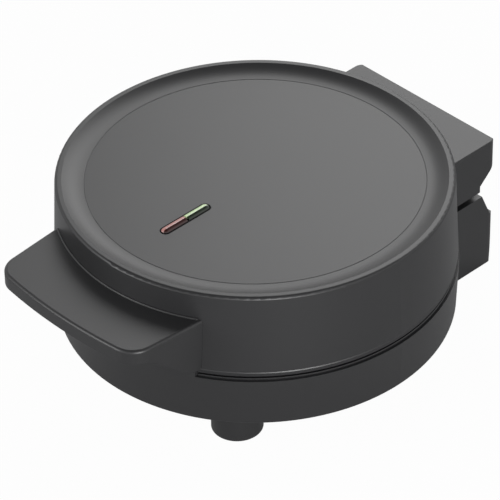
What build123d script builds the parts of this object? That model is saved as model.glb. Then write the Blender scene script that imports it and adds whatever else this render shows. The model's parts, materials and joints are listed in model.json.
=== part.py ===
from build123d import *
import os
from math import cos, radians, sin

os.makedirs("parts", exist_ok=True)

# Driving dimensions of the doughnut maker, in millimetres.
# The origin is on the table, in the middle of the whole object's footprint.
# The handle points to -Y and the hinge to +Y.

# Round body
rim_radius = 105.4
lid_flare = 2.2
base_step = 0.6
base_taper = 1.2
wall = 2.4

# The stack of heights, from the table upwards
leg_height = 20.9
base_wall_height = 28.5
base_lip_height = 1.3
base_ring_set_back = 0.2
plate_gap = 0.4
lid_ring_set_back = 0.5
lid_bead_height = 2.7
lid_bead_gap = 0.8
hairline = 0.3
lid_wall_height = 46.6

# Rim and dish on top of the lid
rim_width = 3.6
rim_edge = 1.6
dish_depth = 3.0
dish_sweep = 11.4
dish_groove_width = 0.5
dish_groove_depth = 0.12
skirt_edge = 0.4
base_edge = 0.6

# Handle on the front of the lid
handle_length = 34.3
shelf_drop = 15.9
lip_height = 8.3
handle_front_half_width = 51.7
handle_root_half_width = 56.7
handle_root_depth = 30.4
handle_bow = 4.2
handle_corner = 13.5
handle_edge = 1.8
handle_bead = 0.8
handle_bead_steps = 3
cheek_depth = 6.4
lip_depth = 13.7
handle_cover_thickness = 2.0
handle_screw_x = 24.0
handle_screw_drop = 11.0
handle_cover_screw_x = 38.0
handle_fit = 0.15
handle_boss_gap = 0.5
handle_pad_depth = 6.4
handle_pad_radius = 4.5

# Hinge blocks at the back of both halves
hinge_depth = 23.6
hinge_half_width = 51.2
hinge_drop = 18.9
hinge_corner = 5.0
hinge_edge = 0.8
hinge_axis_offset = 10.6
hinge_gap = 3.8
lid_block_lean = 1.2
lid_block_slant_drop = 15.1
lid_notch_offset = 0.6
lid_notch_height = 3.9
base_block_root = 24.2
base_block_clearance = 1.1
base_slant_offset = 2.4
base_ledge_depth = 4.0
base_slant_drop = 14.8
base_ledge_drop = 1.2
base_ledge_edge = 1.2
base_block_lean = 3.4

# Hinge knuckles, mirrored left and right, with one pin for each side
pin_radius = 2.0
knuckle_radius = 4.4
knuckle_end_inset = 7.2
knuckle_width = 8.0
lid_knuckle_width = 11.2
knuckle_side_gap = 0.4
knuckle_gap = 0.5
pin_press_gap = 0.02
pin_running_gap = 0.06
pin_overhang = 0.6
pin_chamfer = 0.3
relief_side = 1.0

# Inner rings that hold the cooking plates
ring_fit = 0.35
ring_wall = 2.0
ring_land = 7.4
ring_shoulder = 6.0
ring_thickness = 3.0
lid_ring_wall_rise = 6.0
base_ring_wall_rise = 4.0
ring_lip_edge = 0.3
ring_lip_bevel_width = 0.25
ring_lip_bevel_height = 0.5
lid_bead_inset = 0.6
base_lip_inset = 1.2
upstand_half_width = 52.4
upstand_gap = 0.5

# Cooking plates
plate_thickness = 2.7
plate_margin = 11.0
plate_fit = 0.4
cavity_count = 6
cavity_gap = 6.0
ring_tube_radius = 8.5
plate_skin = 2.2
element_radius = 3.25
element_fit = 0.1
element_bed_width = 12.0
element_bed_height = 13.5
element_arc = 320.0
element_tail = 9.0
bar_width = 14.0
bar_thickness = 1.2
bar_overhang = 7.0
bar_screw_length = 8.0
centre_boss_radius = 6.0
plate_boss_radius = 4.0
plate_screw_inset = 15.0
plate_pilot_gap = 0.5
plate_screw_count = 3

# Reflector pans
pan_thickness = 0.8
pan_flange = 4.0
pan_ring_inset = 1.0
pan_depth = 22.7
pan_edge = 2.0

# Screws, one size for all
screw_radius = 1.5
screw_head_radius = 2.8
screw_head_height = 1.8
screw_recess_length = 3.4
screw_recess_width = 0.8
screw_recess_depth = 1.0
screw_length = 12.0
thread_gap = 0.05
screw_hole_gap = 0.3
boss_radius = 3.2
boss_gap = 0.3
ring_screw_count = 4
counterbore_depth = 2.0
counterbore_gap = 0.3

# Lamps on the dish
lamp_set_back = 38.1
lamp_length = 34.0
lamp_width = 6.2
lens_width = 4.8
lens_inset = 0.7
lens_rise = 1.5
lens_depth = 4.0
lens_crown = 1.4
lamp_divider = 1.2
lamp_divider_offset = 17.1
lamp_fit = 0.1
bezel_rise = 0.2
bezel_flange = 1.3
bezel_flange_thickness = 1.1
lamp_board_width = 10.0
lamp_board_thickness = 1.6
lamp_board_drop = 6.9
lamp_board_overhang = 13.0
lamp_boss_inset = 4.5
bulb_radius = 2.0
bulb_length = 11.0
lamp_screw_length = 8.0
lens_fit = 0.05

# Feet
foot_radius = 13.8
foot_inset = 22.6
foot_angle = 51.35
foot_pad_radius = 11.2
foot_pad_height = 4.0
foot_pad_proud = 0.3
foot_top_thickness = 3.0
foot_pad_fit = 0.1
foot_step = 2.0
foot_edge = 0.6
foot_boss_height = 4.0
foot_screw_length = 9.0
strip_side_inset = 2.2
strip_depth = 6.5
strip_rear_inset = 1.4
strip_seat = 1.4
strip_fit = 0.1

# Covers, cord gland and electrical parts
cover_thickness = 2.2
cover_fit = 0.15
lid_cover_set_back = 7.5
lid_cover_screw_x = 40.0
lid_cover_screw_inset = 6.5
bottom_cover_set_back = 3.8
bottom_cover_thickness = 3.0
bottom_cover_sink = 1.2
bottom_cover_screw_x = 40.0
bottom_cover_screw_inset = 19.0
gland_height = 13.0
gland_radius = 6.0
gland_flange_radius = 8.0
gland_flange_thickness = 1.2
gland_bore_radius = 3.6
gland_length = 7.0
gland_fit = 0.1
gland_edge = 0.5
terminal_width = 24.0
terminal_depth = 12.0
terminal_height = 11.5
terminal_set_back = 18.8
terminal_pitch = 8.0
terminal_screw_radius = 1.6
terminal_screw_height = 3.0
terminal_sink = 0.5
thermostat_reach = 33.5
thermostat_pad_radius = 9.0
thermostat_radius = 8.0
thermostat_hole_gap = 2.0
tag_width = 5.0
tag_thickness = 0.8
tag_root_x = 3.0
tag_end_x = 12.0
fuse_x = -30.0
fuse_reach = 40.0
fuse_radius = 1.5
fuse_gap = 0.05
fuse_length = 16.0
fuse_clip_thickness = 0.6
fuse_clip_width = 5.0
fuse_clip_foot = 4.0
fuse_clip_reach = 20.0
wire_radius = 0.9
wire_bend = 2.0
wire_pitch = 2.4
wire_end_gap = 0.1
sleeve_radius = 2.6
sleeve_fit = 0.4
sleeve_end_gap = 1.7
sleeve_rise = 12.0
sleeve_wire_offset = 0.95
wire_hole_radius = 4.0
wire_hole_length = 8.0
wire_hole_floor_gap = 0.3
lid_wire_gap = 2.6
lead_turn_depth = 14.0
lead_hole_radius = 2.5
lead_start = 4.2
lead_gather_set_back = 21.8
base_riser_set_back = 7.3
base_entry_rise = 4.2
lamp_wire_offset = 2.8
wire_loop_reach = 20.0
wire_loop_x = 20.0
vent_count = 12
vent_length = 22.0
vent_width = 4.0
vent_circle = 62.0

# Radii of the body's walls, and distances in front of and behind the body's axis
lid_skirt_radius = rim_radius + lid_flare
base_top_radius = lid_skirt_radius + base_step
base_foot_radius = base_top_radius - base_taper
handle_reach = rim_radius + handle_length
handle_root_reach = rim_radius - handle_root_depth
cheek_reach = rim_radius - cheek_depth
handle_pad_reach = rim_radius - handle_pad_depth
handle_cover_screw_reach = (cheek_reach + handle_reach - lip_depth) / 2
lamp_front = rim_radius - lamp_set_back
lamp_rear = lamp_front - lamp_length
lamp_divider_reach = lamp_front - lamp_divider_offset
lamp_wire_reach = lamp_rear - lamp_wire_offset
hinge_reach = base_top_radius + hinge_depth
hinge_axis_reach = base_top_radius + hinge_axis_offset
lid_notch_reach = hinge_axis_reach + lid_notch_offset
base_block_front = base_top_radius - base_block_root
base_slant_start = hinge_axis_reach + base_slant_offset
base_slant_end = hinge_reach - base_ledge_depth
lid_cover_reach = hinge_axis_reach - lid_cover_set_back
lid_cover_screw_reach = lid_cover_reach - lid_cover_screw_inset
bottom_cover_reach = hinge_axis_reach - bottom_cover_set_back
bottom_cover_screw_reach = bottom_cover_reach - bottom_cover_screw_inset
terminal_reach = hinge_axis_reach - terminal_set_back
lead_gather_reach = hinge_axis_reach - lead_gather_set_back
base_riser_reach = hinge_axis_reach - base_riser_set_back
outer_knuckle_end = hinge_half_width - knuckle_end_inset
strip_half_width = hinge_half_width - strip_side_inset

# Heights that follow from the stack
body_y = (handle_reach - hinge_reach) / 2
base_rim_z = leg_height + base_wall_height
lower_face_z = base_rim_z + base_lip_height + base_ring_set_back
upper_face_z = lower_face_z + plate_gap
hinge_z = (lower_face_z + upper_face_z) / 2
skirt_z = upper_face_z + lid_ring_set_back + lid_bead_height + lid_bead_gap
rim_z = skirt_z + lid_wall_height
dish_z = rim_z - dish_depth
ceiling_z = dish_z - wall
base_floor_z = leg_height + wall
shelf_z = rim_z - shelf_drop
lip_z = shelf_z - lip_height
hinge_top_z = rim_z - hinge_drop
lid_block_z = hinge_z + hinge_gap / 2
base_block_z = hinge_z - hinge_gap / 2


def lid_radius(z):
    return rim_radius + (lid_skirt_radius - rim_radius) * (rim_z - z) / lid_wall_height


def base_radius(z):
    return base_foot_radius + (base_top_radius - base_foot_radius) * (z - leg_height) / base_wall_height


# Planes through the body's axis: level, seen from the front, and seen from the side
body = Plane((0, body_y, 0))
upright = Plane((0, body_y, 0), x_dir=(1, 0, 0), z_dir=(0, -1, 0))
side = Plane((0, body_y, 0), x_dir=(0, 1, 0), z_dir=(1, 0, 0))
body_axis = Axis((0, body_y, 0), (0, 0, 1))

# Each half is built from its plate's cooking face, with its depth as local height.
# The lower half is turned over, so the hinge is at its local -Y.
upper_face = body.offset(upper_face_z)
lower_face = Plane((0, body_y, lower_face_z), x_dir=(1, 0, 0), z_dir=(0, 0, -1))

# Cooking plate and ring radii, worked out from the wall inwards
ring_back = plate_thickness + ring_thickness
lid_ring_wall_depth = ring_back + lid_ring_wall_rise
base_ring_wall_depth = ring_back + base_ring_wall_rise
lid_wall_narrowest = min(lid_radius(upper_face_z + lid_ring_wall_depth), lid_skirt_radius)
base_wall_narrowest = min(base_radius(lower_face_z - base_ring_wall_depth), base_top_radius)
lid_ring_radius = lid_wall_narrowest - wall - ring_fit
base_ring_radius = base_wall_narrowest - wall - ring_fit
land_radius = min(lid_ring_radius - ring_wall, base_ring_radius - ring_wall, base_foot_radius - wall)
plate_radius = land_radius - ring_land
doughnut_radius = (plate_radius - plate_margin - cavity_gap) / 3
cavity_circle = 2 * doughnut_radius + cavity_gap
element_circle = cavity_circle
lead_turn_reach = element_circle + lead_turn_depth
plate_screw_circle = plate_radius - plate_screw_inset
bar_depth = element_bed_height + element_radius

ring_screw_circle = land_radius - boss_radius - boss_gap
pilot_radius = screw_radius + thread_gap
screw_hole_radius = screw_radius + screw_hole_gap
counterbore_radius = screw_head_radius + counterbore_gap


def screw_set(seat, places, length=screw_length):
    """Cross-head screws with their heads on the seat plane and their shanks below it."""
    with BuildPart() as screws:
        with BuildSketch(seat):
            with Locations(*places):
                Circle(screw_head_radius)
        extrude(amount=screw_head_height)
        with BuildSketch(seat):
            with Locations(*places):
                Circle(screw_radius)
        extrude(amount=-length)
        with BuildSketch(seat.offset(screw_head_height)):
            with Locations(*places):
                Rectangle(screw_recess_length, screw_recess_width)
                Rectangle(screw_recess_width, screw_recess_length)
        extrude(amount=-screw_recess_depth, mode=Mode.SUBTRACT)
    return screws


def around(radius, count, start):
    """Places spread evenly on a circle, as points of a level plane."""
    angles = [radians(start + 360 * i / count) for i in range(count)]
    return [(radius * cos(a), radius * sin(a)) for a in angles]


def turned(places):
    """The same places on a plane that is turned over about X."""
    return [(x, -y) for x, y in places]


ring_screw_places = around(ring_screw_circle, ring_screw_count, 45)
plate_screw_places = around(plate_screw_circle, plate_screw_count, 30)


def hinge_block(outline, inset, top_edge):
    """A hinge block across the full width from its side outline, with rounded rear corners."""
    with BuildPart() as block:
        with BuildSketch(side):
            with BuildLine():
                Polyline(*outline, close=True)
            make_face()
            offset(amount=-inset, kind=Kind.INTERSECTION)
        extrude(amount=hinge_half_width - inset, both=True)
        with BuildSketch(body):
            with Locations((0, hinge_reach / 2)):
                plan = Rectangle(2 * (hinge_half_width - inset), hinge_reach - 2 * inset)
            fillet(plan.vertices().group_by(Axis.Y)[-1], hinge_corner - inset)
        extrude(amount=rim_z, mode=Mode.INTERSECT)
        if top_edge:
            fillet(block.faces().sort_by(Axis.Z)[-1].edges(), top_edge)
    return block


# The two side outlines of the hinge, as distances behind the body's axis and heights
lid_block_outline = [
    (handle_root_reach, lid_block_z),
    (lid_notch_reach, lid_block_z),
    (lid_notch_reach, lid_block_z + lid_notch_height),
    (hinge_reach, hinge_top_z - lid_block_slant_drop),
    (hinge_reach - lid_block_lean, hinge_top_z),
    (handle_root_reach, hinge_top_z),
]
base_ledge_z = base_block_z - base_slant_drop
base_rear_top_z = base_ledge_z - base_ledge_drop / 2 - base_ledge_edge
base_block_outline = [
    (base_block_front, base_block_clearance),
    (base_block_front, base_block_z),
    (base_slant_start, base_block_z),
    (base_slant_end, base_ledge_z),
    (hinge_reach - base_ledge_edge, base_ledge_z - base_ledge_drop / 2),
    (hinge_reach, base_rear_top_z),
    (hinge_reach - base_block_lean, base_block_clearance),
]

lid_block = hinge_block(lid_block_outline, 0, hinge_edge)
lid_block_cavity = hinge_block(lid_block_outline, wall, 0)
base_block = hinge_block(base_block_outline, 0, 0)
base_block_cavity = hinge_block(base_block_outline, wall, 0)

# Knuckle spans along X for the right side; the left side mirrors them
lid_knuckle_start = outer_knuckle_end - knuckle_width - knuckle_side_gap - lid_knuckle_width
inner_knuckle_start = lid_knuckle_start - knuckle_side_gap - knuckle_width
base_knuckle_starts = [outer_knuckle_end - knuckle_width, inner_knuckle_start]
pin_bed_start = inner_knuckle_start - relief_side
pin_bed_width = outer_knuckle_end + relief_side - pin_bed_start
relief_radius = knuckle_radius + knuckle_gap


def barrel(start, width, radius):
    """A cylinder round the hinge axis on both sides of the middle, from start outwards."""
    with BuildPart() as round_bar:
        with BuildSketch(side.offset(start)):
            with Locations((hinge_axis_reach, hinge_z)):
                Circle(radius)
        extrude(amount=width)
        mirror(about=Plane.YZ)
    return round_bar.part


def web(start, width, low, high):
    """A block on both sides of the middle between two corners of the side view."""
    with BuildPart() as block:
        with BuildSketch(side.offset(start)):
            with Locations(((low[0] + high[0]) / 2, (low[1] + high[1]) / 2)):
                Rectangle(high[0] - low[0], high[1] - low[1])
        extrude(amount=width)
        mirror(about=Plane.YZ)
    return block.part


def pipe(*route, radius=wire_radius):
    """A wire along straight runs joined by bends, given as points behind the body's axis."""
    with BuildPart() as wire:
        with BuildLine(body) as path:
            FilletPolyline(*route, radius=wire_bend)
        run = path.wires()[0]
        with BuildSketch(Plane(run @ 0, z_dir=run % 0)):
            Circle(radius)
        sweep(path=run)
    return wire.part


# Lid form: the round cap with its rim and dish, still solid
rim_inner_radius = rim_radius - rim_width
dish_floor_radius = rim_inner_radius - dish_sweep
with BuildPart() as lid_solid:
    with BuildSketch(upright):
        with BuildLine():
            # A fine groove runs round the dish floor where the sweep up to the rim begins
            Polyline(
                (0, dish_z),
                (dish_floor_radius - dish_groove_width, dish_z),
                (dish_floor_radius - dish_groove_width / 2, dish_z - dish_groove_depth),
                (dish_floor_radius, dish_z),
            )
            TangentArc((dish_floor_radius, dish_z), (rim_inner_radius, rim_z), tangent=(1, 0))
            Polyline(
                (rim_inner_radius, rim_z),
                (rim_radius, rim_z),
                (lid_skirt_radius, skirt_z),
                (0, skirt_z),
                (0, dish_z),
            )
        rim_profile = make_face()
        rim_corner = rim_profile.vertices().group_by(Axis.Y)[-1].sort_by(Axis.X)[-1]
        skirt_corner = rim_profile.vertices().group_by(Axis.Y)[0].sort_by(Axis.X)[-1]
        fillet(rim_corner, rim_edge)
        fillet(skirt_corner, skirt_edge)
    revolve(axis=body_axis)

with BuildPart() as lid_block_room:
    add(lid_block_cavity.part)
    add(lid_solid.part, mode=Mode.SUBTRACT)

# Places that both the lid shell and the pieces fastened to it use
handle_screw_z = shelf_z - handle_screw_drop
handle_screw_places = [(-handle_screw_x, handle_screw_z), (handle_screw_x, handle_screw_z)]
lamp_reach = (lamp_front + lamp_rear) / 2
lamp_board_z = ceiling_z - lamp_board_drop
lamp_boss_places = [
    (0, -lamp_front - lamp_board_overhang + lamp_boss_inset),
    (0, -lamp_rear + lamp_board_overhang - lamp_boss_inset),
]
lid_cover_screw_places = [
    (-lid_cover_screw_x, lid_cover_screw_reach),
    (lid_cover_screw_x, lid_cover_screw_reach),
]
lid_ring_back_z = upper_face_z + ring_back
lid_wire_height = upper_face_z + pan_depth + pan_thickness + lid_wire_gap
lid_cover_z = lid_block_z + cover_thickness

with BuildPart() as lid_shell:
    add(lid_solid.part)
    add(lid_block.part)
    # The bead of the lid ring runs under the skirt, also past the hinge block
    with BuildSketch(body.offset(lid_block_z)):
        Circle(lid_skirt_radius)
    extrude(amount=skirt_z - lid_block_z, mode=Mode.SUBTRACT)
    with BuildSketch(upright):
        with BuildLine():
            Polyline(
                (0, lid_block_z),
                (lid_skirt_radius - wall, lid_block_z),
                (lid_skirt_radius - wall, skirt_z),
                (rim_radius - wall, ceiling_z),
                (0, ceiling_z),
                close=True,
            )
        make_face()
    revolve(axis=body_axis, mode=Mode.SUBTRACT)
    add(lid_block_room.part, mode=Mode.SUBTRACT)
    # Mouth of the hinge block, closed by the lid hinge cover
    with BuildSketch(body.offset(lid_block_z)):
        with Locations((0, lid_cover_reach / 2)):
            Rectangle(2 * (hinge_half_width - wall), lid_cover_reach)
        Circle(lid_skirt_radius, mode=Mode.SUBTRACT)
    extrude(amount=wall, mode=Mode.SUBTRACT)
    # Solid bed behind the mouth, and the knuckles that hang from it
    add(
        web(
            pin_bed_start,
            pin_bed_width,
            (lid_cover_reach + cover_fit, lid_block_z),
            (lid_notch_reach, hinge_z + relief_radius + wall),
        )
    )
    relief_width = knuckle_width + 2 * relief_side
    for start in base_knuckle_starts:
        add(barrel(start - relief_side, relief_width, relief_radius), mode=Mode.SUBTRACT)
    add(barrel(lid_knuckle_start, lid_knuckle_width, knuckle_radius))
    add(barrel(pin_bed_start, pin_bed_width, pin_radius + pin_running_gap), mode=Mode.SUBTRACT)
    # Screw bosses under the ceiling
    with BuildSketch(body.offset(lid_ring_back_z)):
        with Locations(*ring_screw_places):
            Circle(boss_radius)
    extrude(amount=ceiling_z - lid_ring_back_z)
    with BuildSketch(body.offset(lid_ring_back_z)):
        with Locations(*ring_screw_places):
            Circle(pilot_radius)
    extrude(amount=screw_length, mode=Mode.SUBTRACT)
    with BuildSketch(body.offset(lamp_board_z)):
        with Locations(*lamp_boss_places):
            Circle(boss_radius)
    extrude(amount=lamp_board_drop)
    with BuildSketch(body.offset(lamp_board_z)):
        with Locations(*lamp_boss_places):
            Circle(pilot_radius)
    extrude(amount=lamp_board_drop, mode=Mode.SUBTRACT)
    with BuildSketch(body.offset(lid_cover_z)):
        with Locations(*lid_cover_screw_places):
            Circle(boss_radius)
    extrude(amount=hinge_top_z - wall - lid_cover_z)
    with BuildSketch(body.offset(lid_cover_z)):
        with Locations(*lid_cover_screw_places):
            Circle(pilot_radius)
    extrude(amount=screw_length, mode=Mode.SUBTRACT)
    # Flat pads for the handle screws inside the front wall, and the holes through it
    with BuildSketch(upright.offset(handle_pad_reach)):
        with Locations(*handle_screw_places):
            Circle(handle_pad_radius)
    extrude(amount=rim_radius - wall - handle_pad_reach)
    with BuildSketch(upright.offset(handle_pad_reach)):
        with Locations(*handle_screw_places):
            Circle(screw_hole_radius)
    extrude(amount=rim_radius - handle_pad_reach + wall, mode=Mode.SUBTRACT)
    # Slot for the lamps, and the ways for the wires
    with BuildSketch(body.offset(ceiling_z)):
        with Locations((0, -lamp_reach)):
            SlotOverall(lamp_length + 2 * lamp_fit, lamp_width + 2 * lamp_fit, rotation=90)
    extrude(amount=wall, mode=Mode.SUBTRACT)
    with BuildSketch(upright.offset(wire_hole_length / 2 - lid_radius(lid_wire_height))):
        with Locations((0, lid_wire_height)):
            Circle(wire_hole_radius)
    extrude(amount=-wire_hole_length, mode=Mode.SUBTRACT)
    with BuildSketch(body.offset(lid_block_z)):
        with Locations((0, hinge_axis_reach)):
            Circle(sleeve_radius + sleeve_fit)
    extrude(amount=sleeve_rise, mode=Mode.SUBTRACT)
lid_shell.part.label = "lid_shell"
export_step(lid_shell.part, "parts/lid_shell.step")

with BuildPart() as lid_hinge_cover:
    with BuildSketch(body.offset(lid_block_z)):
        with Locations((0, lid_cover_reach / 2)):
            Rectangle(2 * (hinge_half_width - wall - cover_fit), lid_cover_reach - 2 * cover_fit)
        Circle(lid_skirt_radius + hairline, mode=Mode.SUBTRACT)
        with Locations(*lid_cover_screw_places):
            Circle(screw_hole_radius, mode=Mode.SUBTRACT)
    extrude(amount=cover_thickness)
lid_hinge_cover.part.label = "lid_hinge_cover"
export_step(lid_hinge_cover.part, "parts/lid_hinge_cover.step")

lid_cover_seat = Plane((0, body_y, lid_block_z), x_dir=(1, 0, 0), z_dir=(0, 0, -1))
lid_hinge_cover_screws = screw_set(lid_cover_seat, turned(lid_cover_screw_places))
lid_hinge_cover_screws.part.label = "lid_hinge_cover_screws"
export_step(lid_hinge_cover_screws.part, "parts/lid_hinge_cover_screws.step")

# Handle: a shelf with a bowed front, closed by cheeks at its sides and open underneath
handle_corner_reach = handle_reach - handle_bow
slope_rise = (lip_z - skirt_z) / (handle_reach - lip_depth - cheek_reach)
boss_room_height = handle_screw_z - boss_radius - handle_cover_thickness - skirt_z
handle_boss_end = cheek_reach + boss_room_height / slope_rise - handle_boss_gap
handle_side_outline = [
    (-handle_root_reach, skirt_z),
    (-cheek_reach, skirt_z),
    (lip_depth - handle_reach, lip_z),
    (-handle_reach, lip_z),
    (-handle_reach, shelf_z),
    (-handle_root_reach, shelf_z),
]


def handle_form(inset, top):
    """The handle seen from above and from the side, drawn in by a wall's thickness."""
    with BuildPart() as form:
        with BuildSketch(body.offset(skirt_z)):
            with BuildLine():
                Polyline(
                    (-handle_front_half_width, -handle_corner_reach),
                    (-handle_root_half_width, -handle_root_reach),
                    (handle_root_half_width, -handle_root_reach),
                    (handle_front_half_width, -handle_corner_reach),
                )
                ThreePointArc(
                    (handle_front_half_width, -handle_corner_reach),
                    (0, -handle_reach),
                    (-handle_front_half_width, -handle_corner_reach),
                )
            plan = make_face()
            fillet(plan.vertices().group_by(Axis.Y)[0], handle_corner)
            if inset:
                offset(amount=-inset)
        extrude(amount=top - skirt_z)
    return form


def under_handle(thickness):
    """The space over the handle's underside, as thick as named, across the full width."""
    with BuildPart() as band:
        with BuildSketch(side):
            with BuildLine():
                Polyline(*handle_side_outline, close=True)
            make_face()
            if thickness:
                with BuildLine():
                    Polyline(*[(y, z + thickness) for y, z in handle_side_outline], close=True)
                make_face(mode=Mode.SUBTRACT)
        extrude(amount=handle_root_half_width, both=True)
    return band.part


def lid_cone(gap):
    """The lid's wall with a gap round it, as tall as the handle."""
    with BuildPart() as cone:
        with BuildSketch(upright):
            with BuildLine():
                Polyline(
                    (0, lid_block_z),
                    (lid_radius(lid_block_z) + gap, lid_block_z),
                    (rim_radius + gap, rim_z),
                    (0, rim_z),
                    close=True,
                )
            make_face()
        revolve(axis=body_axis)
    return cone.part


handle_body = handle_form(0, shelf_z)
handle_room = handle_form(wall, shelf_z - wall)
handle_cover_form = handle_form(wall + cover_fit, shelf_z - wall)
with BuildPart() as handle_inside:
    add(handle_room.part)
    add(lid_cone(handle_fit + wall), mode=Mode.SUBTRACT)

# A fine bead on the shelf, along the arc beside the lid's wall
bead_foot_radius = lid_radius(shelf_z) + handle_fit
bead_angles = [radians(90 * i / handle_bead_steps) for i in range(handle_bead_steps + 1)]
bead_crown = [
    (bead_foot_radius + handle_bead * cos(angle), shelf_z + handle_bead * sin(angle))
    for angle in bead_angles
]
with BuildPart() as handle_bead_arc:
    with BuildSketch(upright):
        with BuildLine():
            Polyline(
                (bead_foot_radius - handle_bead, shelf_z - handle_bead),
                (bead_foot_radius + handle_bead, shelf_z - handle_bead),
                *bead_crown,
                (bead_foot_radius - handle_bead, shelf_z + handle_bead),
                close=True,
            )
        make_face()
    revolve(axis=body_axis)
    add(handle_form(handle_edge, shelf_z + handle_bead).part, mode=Mode.INTERSECT)

# The seat of the cover screws lies on the sloping underside
slope_run = handle_cover_screw_reach - cheek_reach
slope_seat = Plane(
    (0, body_y - handle_cover_screw_reach, skirt_z + slope_run * slope_rise),
    x_dir=(1, 0, 0),
    z_dir=(0, -slope_rise, -1),
)
handle_cover_screw_places = [(-handle_cover_screw_x, 0), (handle_cover_screw_x, 0)]

with BuildPart() as lid_handle:
    add(handle_body.part)
    add(under_handle(0), mode=Mode.INTERSECT)
    top_edges = lid_handle.faces().sort_by(Axis.Z)[-1].edges()
    root_y = body_y - handle_root_reach
    fillet(top_edges.filter_by(lambda edge: edge.center().Y < root_y - handle_edge), handle_edge)
    add(handle_inside.part, mode=Mode.SUBTRACT)
    add(handle_bead_arc.part)
    # Bosses for the screws that come through the lid's wall
    with BuildSketch(upright.offset(handle_pad_reach)):
        with Locations(*handle_screw_places):
            Circle(boss_radius)
    extrude(amount=handle_boss_end - handle_pad_reach)
    # Bosses for the cover screws, square to the slope
    with BuildSketch(slope_seat.offset(-handle_cover_thickness)):
        with Locations(*handle_cover_screw_places):
            Circle(boss_radius)
    extrude(amount=-screw_length)
    with BuildSketch(slope_seat):
        with Locations(*handle_cover_screw_places):
            Circle(pilot_radius)
    extrude(amount=-screw_length, mode=Mode.SUBTRACT)
    add(lid_cone(handle_fit), mode=Mode.SUBTRACT)
    with BuildSketch(upright.offset(handle_pad_reach)):
        with Locations(*handle_screw_places):
            Circle(pilot_radius)
    extrude(amount=screw_length, mode=Mode.SUBTRACT)
lid_handle.part.label = "lid_handle"
export_step(lid_handle.part, "parts/lid_handle.step")

with BuildPart() as handle_cover:
    add(handle_cover_form.part)
    add(under_handle(handle_cover_thickness), mode=Mode.INTERSECT)
    add(lid_cone(handle_fit + wall + cover_fit), mode=Mode.SUBTRACT)
    with BuildSketch(slope_seat):
        with Locations(*handle_cover_screw_places):
            Circle(screw_hole_radius)
    extrude(amount=-2 * handle_cover_thickness, mode=Mode.SUBTRACT)
handle_cover.part.label = "handle_cover"
export_step(handle_cover.part, "parts/handle_cover.step")

handle_seat = Plane((0, body_y - handle_pad_reach, 0), x_dir=(-1, 0, 0), z_dir=(0, 1, 0))
handle_screws = screw_set(handle_seat, handle_screw_places)
handle_screws.part.label = "handle_screws"
export_step(handle_screws.part, "parts/handle_screws.step")

handle_cover_screws = screw_set(slope_seat, handle_cover_screw_places)
handle_cover_screws.part.label = "handle_cover_screws"
export_step(handle_cover_screws.part, "parts/handle_cover_screws.step")


def half_profile(face):
    """The upright half plane of one side of a half: distance from the axis, then depth."""
    return Plane(face.origin, x_dir=face.x_dir, z_dir=-face.y_dir)


def plate_ring(face, front, lip_depth, lip_radius, wall_radius, wall_depth, front_side):
    """The frame round a cooking plate, with its lip, its locating wall and its screw holes."""
    with BuildPart() as ring:
        with BuildSketch(half_profile(face)):
            with BuildLine():
                Polyline(
                    (plate_radius - ring_shoulder, plate_thickness),
                    (plate_radius + plate_fit, plate_thickness),
                    (plate_radius + plate_fit, front),
                    (lip_radius - ring_lip_edge, front),
                    (lip_radius, front + ring_lip_edge),
                    (lip_radius, lip_depth - ring_lip_bevel_height),
                    (lip_radius - ring_lip_bevel_width, lip_depth),
                    (wall_radius, lip_depth),
                    (wall_radius, wall_depth),
                    (wall_radius - ring_wall, wall_depth),
                    (wall_radius - ring_wall, ring_back),
                    (plate_radius - ring_shoulder, ring_back),
                    close=True,
                )
            make_face()
        revolve(axis=Axis(face.origin, face.z_dir))
        # Under the handle the lip is set back behind the base's upstand
        with BuildSketch(face):
            with Locations((0, front_side * base_top_radius)):
                Rectangle(2 * (upstand_half_width + upstand_gap), base_top_radius)
            Circle(base_top_radius - wall - upstand_gap, mode=Mode.SUBTRACT)
        extrude(amount=ring_back, mode=Mode.SUBTRACT)
        with BuildSketch(face.offset(front)):
            with Locations(*ring_screw_places):
                Circle(counterbore_radius)
        extrude(amount=counterbore_depth, mode=Mode.SUBTRACT)
        with BuildSketch(face):
            with Locations(*ring_screw_places):
                Circle(screw_hole_radius)
        extrude(amount=ring_back, mode=Mode.SUBTRACT)
    return ring


def seat_in(face, depth):
    """The plane of screw heads that face out of the mouth of a half."""
    return Plane(face.origin + face.z_dir * depth, x_dir=face.x_dir, z_dir=-face.z_dir)


lid_bead_radius = lid_skirt_radius - lid_bead_inset
lid_bead_depth = lid_ring_set_back + lid_bead_height
lid_ring = plate_ring(
    face=upper_face,
    front=lid_ring_set_back,
    lip_depth=lid_bead_depth,
    lip_radius=lid_bead_radius,
    wall_radius=lid_ring_radius,
    wall_depth=lid_ring_wall_depth,
    front_side=-1,
)
lid_ring.part.label = "lid_ring"
export_step(lid_ring.part, "parts/lid_ring.step")

base_lip_radius = base_top_radius - base_lip_inset
base_lip_depth = base_ring_set_back + base_lip_height
base_ring = plate_ring(
    face=lower_face,
    front=base_ring_set_back,
    lip_depth=base_lip_depth,
    lip_radius=base_lip_radius,
    wall_radius=base_ring_radius,
    wall_depth=base_ring_wall_depth,
    front_side=1,
)
base_ring.part.label = "base_ring"
export_step(base_ring.part, "parts/base_ring.step")

lid_ring_seat = seat_in(upper_face, lid_ring_set_back + counterbore_depth)
lid_ring_screws = screw_set(lid_ring_seat, ring_screw_places)
lid_ring_screws.part.label = "lid_ring_screws"
export_step(lid_ring_screws.part, "parts/lid_ring_screws.step")

base_ring_seat = seat_in(lower_face, base_ring_set_back + counterbore_depth)
base_ring_screws = screw_set(base_ring_seat, ring_screw_places)
base_ring_screws.part.label = "base_ring_screws"
export_step(base_ring_screws.part, "parts/base_ring_screws.step")

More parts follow.
